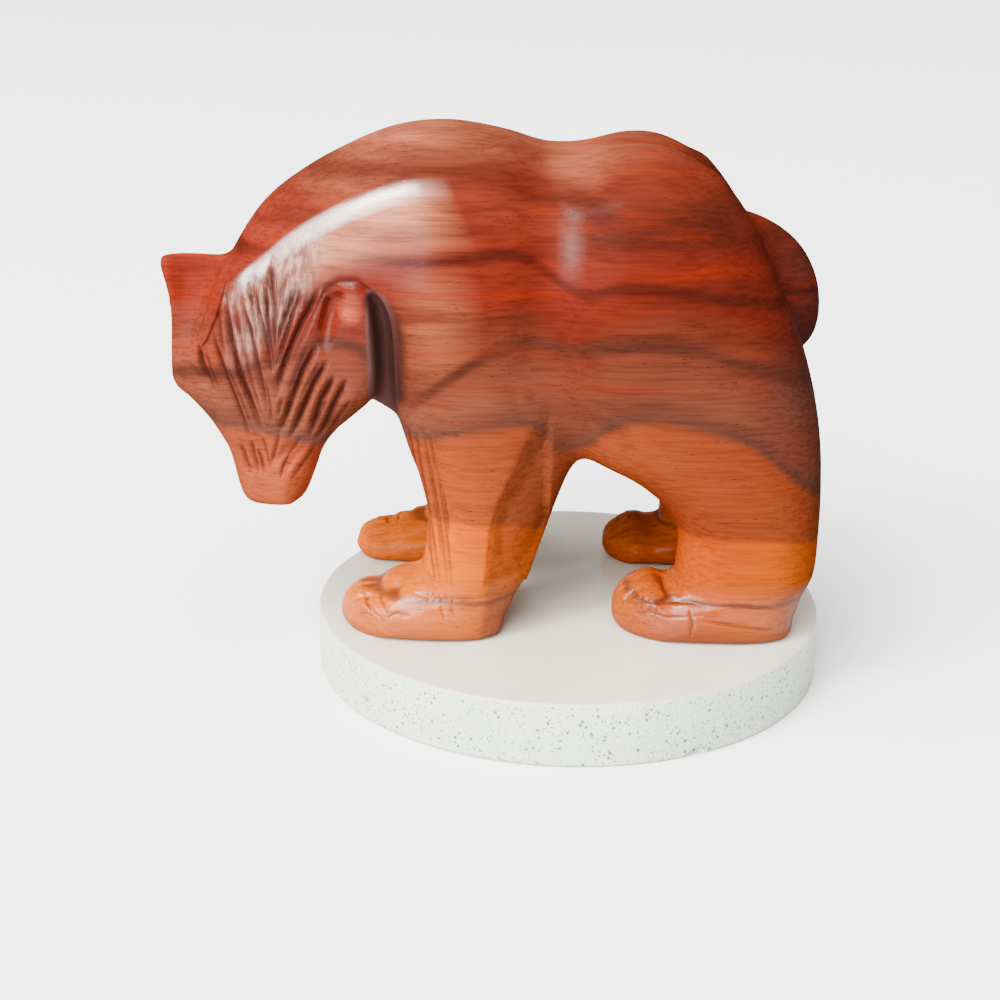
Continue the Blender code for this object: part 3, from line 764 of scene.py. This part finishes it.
def with_painted_sheen(tree, colour, place, x, under, shoulder, fine, broad):
    """Painted sheen on the wood: the soft reflection of the window under the bright edge of the shoulder,
    and the haze on the mane, broken up hair by hair.
    """
    foot = remap(tree, x, -46.0, -58.0, 13.0, 18.5)
    reach = calc(tree, "DIVIDE", calc(tree, "SUBTRACT", foot, under), 7.0, clamp=True)
    reach = product(tree, reach, remap(tree, under, -1.0, 1.0), shoulder)
    hair = noise(tree, stretched(tree, place, (1.1, 1.1, 0.16)), 1.0, 3.0, 0.6)
    mane = remap(tree, x, -48.0, -53.0)
    thin = product(tree, mane, remap(tree, hair, 0.58, 0.42, 0.0, 0.75))
    reach = product(tree, reach, calc(tree, "SUBTRACT", 1.0, thin))
    reach = product(tree, reach, remap(tree, broad, 0.56, 0.46, 0.45, 0.80))
    # The painted sheen is tan on the shoulder and greyish on the mane.
    sheen = mixed(tree, mane, (0.400, 0.1350, 0.0620), (0.340, 0.2000, 0.1550))
    grained = ramp(tree, fine, ((0.30, (0.55, 0.46, 0.42)), (0.56, (1.0, 1.0, 1.0))))
    grained = mixed(tree, 1.0, sheen, grained, "MULTIPLY")
    sheen = mixed(tree, calc(tree, "SUBTRACT", 1.0, mane), sheen, grained)
    return mixed(tree, reach, colour, sheen)


def shade_in_cuts_and_channel(tree, colour, x):
    """The wood with painted shade in the cuts, partly the dark finish gathered in them, and painted shade
    in the channel behind the ear.
    """
    cut = product(tree, on_the_mesh(tree, "cut"), 0.86)
    colour = mixed(tree, cut, colour, (0.024, 0.005, 0.004))
    # Painted shade in the channel, lightest by the ear and darkest on the far bank.
    channel = product(tree, on_the_mesh(tree, "channel"), 0.9)
    away_from_ear = remap(tree, x, -38.6, -35.0)
    its_tint = mixed(tree, away_from_ear, (0.090, 0.0400, 0.0360), (0.022, 0.0075, 0.0060))
    return mixed(tree, channel, colour, its_tint)


def polish_by_place(tree, x, y, z, under, shoulder):
    """How bright the polish is: most on the shoulder's edge and the paws, rubbed dull elsewhere."""
    bright_edge = remap(tree, gap(tree, under, 0.9), 2.4, 0.9)
    beside_channel = product(tree, remap(tree, x, -40.0, -37.0), remap(tree, z, 86.0, 82.0))
    on_shoulder = product(
        tree,
        remap(tree, under, -1.6, -0.6),
        remap(tree, z, 58.0, 70.0),
        calc(tree, "ADD", 0.06, product(tree, bright_edge, 0.94)),
        shoulder,
        calc(tree, "SUBTRACT", 1.0, beside_channel),
    )
    on_paws = product(tree, remap(tree, z, 27.0, 22.0), remap(tree, y, 0.0, -12.0, 0.04, 0.24))
    on_hip = product(
        tree,
        remap(tree, gap(tree, x, -1.8), 3.0, 0.0),
        remap(tree, y, -7.0, -13.0),
        remap(tree, gap(tree, z, 93.0), 8.0, 1.0),
        0.13,
    )
    brightest = calc(tree, "MAXIMUM", calc(tree, "MAXIMUM", on_shoulder, on_paws), on_hip)
    return calc(tree, "ADD", 0.008, brightest)


def wood_relief(tree, place, x, z, grain, pore):
    """The height of the fine grain, the scuffs, the pores and the scratches of the knife."""
    scuff = noise(tree, stretched(tree, place, (2.2, 2.2, 0.9)), 1.0, 3.0, 0.7)
    height = calc(tree, "ADD", product(tree, grain, 0.35), product(tree, scuff, 0.25))
    height = calc(tree, "SUBTRACT", height, product(tree, pore, 0.6))
    # The scruff is scratched where the mane begins, so the light breaks up on it.
    speck = noise(tree, place, 2.6, 3.0, 0.75)
    scruff = product(tree, speck, remap(tree, x, -42.0, -50.0), remap(tree, z, 84.0, 90.0), 2.0)
    height = calc(tree, "ADD", height, scruff)
    # Short hairs are scratched across the toes.
    hairs = noise(tree, stretched(tree, place, (1.2, 1.0, 4.2), 0.85), 1.0, 2.0, 0.6)
    hind_toes = product(tree, remap(tree, x, 3.0, 7.0), remap(tree, x, 22.0, 17.0))
    toes = calc(tree, "MAXIMUM", remap(tree, x, -34.0, -38.0), hind_toes)
    return calc(tree, "ADD", height, product(tree, hairs, toes, remap(tree, z, 27.0, 24.0), 3.0))


def rosewood():
    made, tree, shader = new_material("polished rosewood")
    place = object_place(tree)
    split = tree.nodes.new("ShaderNodeSeparateXYZ")
    tree.links.new(place, split.inputs[0])
    x, y, z = split.outputs

    ripple = noise(tree, stretched(tree, place, (0.16, 0.10, 0.35)), 1.0, 3.0, 0.6)
    ragged = product(tree, calc(tree, "SUBTRACT", ripple, 0.5), 1.3)
    level = calc(tree, "ADD", z, ragged)
    bands = combined(tree, product(tree, x, 0.020), product(tree, y, 0.04), product(tree, level, 0.20))
    broad = noise(tree, bands, 1.0, 4.0, 0.6)
    fine = noise(tree, stretched(tree, place, (0.05, 0.9, 1.6)), 1.0, 3.0, 0.6)
    grain = noise(tree, stretched(tree, place, (0.6, 2.6, 2.6)), 1.0, 3.0, 0.65)
    pore = pores(tree, place)
    under = calc(tree, "SUBTRACT", run_along(tree, x, SHOULDER_LINE), z)
    shoulder = left_shoulder(tree, x, y, z)

    colour = layered_wood(tree, x, level)
    colour = tints_and_painted_light(tree, colour, x, y, z, level)
    colour = streaked(tree, colour, broad, z)
    colour = dark_lined(tree, colour, broad, x, level)
    grained = ramp(tree, fine, ((0.32, (0.50, 0.44, 0.42)), (0.58, (1.0, 1.0, 1.0))))
    colour = mixed(tree, 0.6, colour, grained, "MULTIPLY")
    colour = mixed(tree, product(tree, pore, 0.75), colour, (0.020, 0.006, 0.004))
    colour = with_painted_sheen(tree, colour, place, x, under, shoulder, fine, broad)
    colour = shade_in_cuts_and_channel(tree, colour, x)
    tree.links.new(colour, shader.inputs["Base Color"])

    cloud = noise(tree, place, 0.12, 3.0, 0.6)
    rough = calc(tree, "ADD", remap(tree, cloud, 0.3, 0.7, 0.26, 0.40), product(tree, grain, 0.08))
    tree.links.new(rough, shader.inputs["Roughness"])
    shader.inputs["Specular IOR Level"].default_value = 0.0
    shader.inputs["Coat Roughness"].default_value = 0.12
    shader.inputs["Coat IOR"].default_value = 1.8
    tree.links.new(polish_by_place(tree, x, y, z, under, shoulder), shader.inputs["Coat Weight"])
    height = wood_relief(tree, place, x, z, grain, pore)
    tree.links.new(bumped(tree, height, 0.10 * MM, 0.8), shader.inputs["Normal"])
    tree.links.new(bumped(tree, height, 0.06 * MM, 0.8), shader.inputs["Coat Normal"])
    return made


# The plinth

PLINTH_RADIUS = 53.5
# Chips out of the rims: direction in degrees, level, radius, and height as a share of it.
PLINTH_CHIPS = ((-64.0, 0.0, 2.3, 0.75), (-56.5, PLINTH_TOP, 1.2, 0.6), (-59.0, 0.0, 1.3, 0.6))
CHIP_OUT = 0.8
# Specks in the stone: how close together, how large, and how crowded the places that have them.
SPECKS = ((0.62, 0.25, 0.40), (1.15, 0.25, 0.36), (2.1, 0.24, 0.42))


def stone_plinth():
    bpy.ops.object.select_all(action="DESELECT")
    bpy.ops.mesh.primitive_cylinder_add(
        vertices=360, radius=PLINTH_RADIUS * MM, depth=PLINTH_TOP * MM,
        location=(0, 0, PLINTH_TOP * MM / 2),
    )
    disc = bpy.context.object
    disc.name = "plinth_disc"
    bpy.ops.object.transform_apply(location=True, rotation=True, scale=True)
    rims = disc.modifiers.new("eased rims", "BEVEL")
    rims.width = 0.75 * MM
    rims.segments = 4
    rims.limit_method = "ANGLE"
    apply_modifiers(disc)
    for angle, level, radius, squash in PLINTH_CHIPS:
        turn = math.radians(angle)
        reach = PLINTH_RADIUS + CHIP_OUT
        bpy.ops.mesh.primitive_ico_sphere_add(
            subdivisions=3, radius=radius * MM,
            location=(reach * math.cos(turn) * MM, reach * math.sin(turn) * MM, level * MM),
            rotation=(0.3, 0.2, turn), scale=(1.0, 1.5, squash),
        )
        flake = bpy.context.object
        chip = disc.modifiers.new("chip", "BOOLEAN")
        chip.operation = "DIFFERENCE"
        chip.solver = "EXACT"
        chip.object = flake
        apply_modifiers(disc)
        bpy.data.objects.remove(flake)
    select_only(disc)
    bpy.ops.object.shade_smooth_by_angle(angle=math.radians(28))
    disc.data.materials.clear()
    disc.data.materials.append(speckled_stone())
    return disc


def speckled_stone():
    made, tree, shader = new_material("white speckled stone")
    place = object_place(tree)
    split = tree.nodes.new("ShaderNodeSeparateXYZ")
    tree.links.new(place, split.inputs[0])
    side = remap(tree, split.outputs[2], PLINTH_TOP - 0.1, PLINTH_TOP - 0.9)
    cloud = noise(tree, place, 0.035, 4.0, 0.6)
    # The top is painted darker and warmer than the greenish wall, as painted shade on the top; the wall
    # shows the stone's own colour.
    top = ramp(tree, cloud, ((0.35, (0.51, 0.460, 0.370)), (0.65, (0.57, 0.520, 0.430))))
    wall = ramp(tree, cloud, ((0.35, (0.60, 0.68, 0.54)), (0.65, (0.67, 0.75, 0.61))))
    colour = mixed(tree, side, top, wall)
    edge = noise(tree, place, 1.6, 2.0, 0.5)
    specks = None
    for scale, radius, crowd_low in SPECKS:
        cells = tree.nodes.new("ShaderNodeTexVoronoi")
        cells.inputs["Scale"].default_value = scale
        tree.links.new(place, cells.inputs["Vector"])
        crowd = noise(tree, place, 0.11 * (1 + scale), 2.0, 0.5)
        ragged = calc(tree, "MULTIPLY", calc(tree, "SUBTRACT", edge, 0.5), 0.2)
        away = calc(tree, "ADD", cells.outputs["Distance"], ragged)
        spot = remap(tree, away, radius, radius - 0.06)
        spot = calc(tree, "MULTIPLY", spot, remap(tree, crowd, crowd_low, crowd_low + 0.1), clamp=True)
        specks = spot if specks is None else calc(tree, "MAXIMUM", specks, spot)
    specks = calc(tree, "MULTIPLY", specks, side)
    tint = noise(tree, place, 0.7, 2.0, 0.5)
    ink = ramp(tree, tint, ((0.42, (0.035, 0.065, 0.055)), (0.62, (0.15, 0.21, 0.17))))
    colour = mixed(tree, calc(tree, "MULTIPLY", specks, 0.9), colour, ink)
    tree.links.new(colour, shader.inputs["Base Color"])
    tree.links.new(calc(tree, "ADD", 0.14, calc(tree, "MULTIPLY", side, 0.36)), shader.inputs["Roughness"])
    pit = noise(tree, place, 2.0, 3.0, 0.6)
    tree.links.new(bumped(tree, calc(tree, "MULTIPLY", pit, side), 0.12 * MM, 0.6), shader.inputs["Normal"])
    return made


# The studio


PALE_GLOW = 4.9
LAMP_DISTANCE = 4.0
LAMPS_AIMED_AT = (-0.01, 0.0, 0.07)


def studio():
    bpy.ops.object.select_all(action="DESELECT")
    bpy.ops.mesh.primitive_plane_add(size=6.0, location=(0, 0, 0))
    floor = bpy.context.object
    floor.name = "studio_floor"
    made, tree, shader = new_material("pale floor")
    # The floor looks white and throws back little light, so the wood keeps its shadows.
    ray = tree.nodes.new("ShaderNodeLightPath")
    pale = mixed(tree, ray.outputs["Is Diffuse Ray"], (0.90, 0.90, 0.90), (0.34, 0.34, 0.34))
    tree.links.new(pale, shader.inputs["Base Color"])
    shader.inputs["Roughness"].default_value = 0.7
    shader.inputs["Specular IOR Level"].default_value = 0.0
    floor.data.materials.append(made)

    # The room is bright high up on the left, and dim and even elsewhere.
    world = bpy.data.worlds.new("pale room")
    world.use_nodes = True
    tree = world.node_tree
    place = tree.nodes.new("ShaderNodeTexCoord")
    turned = tree.nodes.new("ShaderNodeVectorMath")
    turned.operation = "DOT_PRODUCT"
    turned.inputs[1].default_value = (-0.375, -0.375, 0.848)
    tree.links.new(place.outputs["Generated"], turned.inputs[0])
    glow = remap(tree, turned.outputs["Value"], 0.50, 0.97, 0.5, 6.8)
    # In the picture itself the room beyond the floor is as pale as the floor.
    ray = tree.nodes.new("ShaderNodeLightPath")
    seen = calc(tree, "MULTIPLY", ray.outputs["Is Camera Ray"], calc(tree, "SUBTRACT", PALE_GLOW, glow))
    glow = calc(tree, "ADD", glow, seen)
    sky = tree.nodes["Background"]
    sky.inputs["Color"].default_value = (1.0, 1.0, 0.985, 1.0)
    tree.links.new(glow, sky.inputs["Strength"])
    bpy.context.scene.world = world

    lamp("bright window edge", (-60, 26), (-29, 67), 9.0, 58.0)
    lamp("window top", (-37, 46), (-12, 46), 10.0, 24.0)
    lamp("window", (-27, -2), (-27, 42), 38.0, 13.0)


def lamp(name, first, last, width, glow):
    """A soft panel of light from one direction (turn, rise) to another, all in degrees."""

    def direction(turn, rise):
        turn, rise = math.radians(turn), math.radians(rise)
        return Vector((math.sin(turn) * math.cos(rise), -math.cos(turn) * math.cos(rise), math.sin(rise)))

    start, end = LAMP_DISTANCE * direction(*first), LAMP_DISTANCE * direction(*last)
    away = (start + end).normalized()
    along = (end - start).normalized()
    light = bpy.data.lights.new(name, "AREA")
    light.shape = "RECTANGLE"
    light.size = 2 * LAMP_DISTANCE * math.tan(math.radians(width / 2))
    light.size_y = (end - start).length
    light.energy = glow * math.pi * light.size * light.size_y
    panel = bpy.data.objects.new(name, light)
    bpy.context.scene.collection.objects.link(panel)
    facing = Matrix((along.cross(away), along, away)).transposed().to_4x4()
    place = Vector(LAMPS_AIMED_AT) + LAMP_DISTANCE * away
    panel.matrix_world = Matrix.Translation(place) @ facing
    panel.visible_camera = False


LENS = 64.8
CAMERA_PLACE = (-0.01485, -0.3597, 0.1646)
CAMERA_DIP = 19.816
CAMERA_ROLL = 0.641


def camera():
    lens = bpy.data.cameras.new("photo camera")
    lens.sensor_width = 36.0
    lens.lens = LENS
    lens.clip_start = 0.01
    holder = bpy.data.objects.new("photo camera", lens)
    bpy.context.scene.collection.objects.link(holder)
    tilt = Matrix.Rotation(math.radians(90 - CAMERA_DIP), 4, "X")
    roll = Matrix.Rotation(math.radians(CAMERA_ROLL), 4, "Z")
    holder.matrix_world = Matrix.Translation(CAMERA_PLACE) @ tilt @ roll
    bpy.context.scene.camera = holder


camera()
bear = carved_bear()
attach(bear, "root")
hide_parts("bear")
plinth = stone_plinth()
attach(plinth, "root")
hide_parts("plinth")
studio()
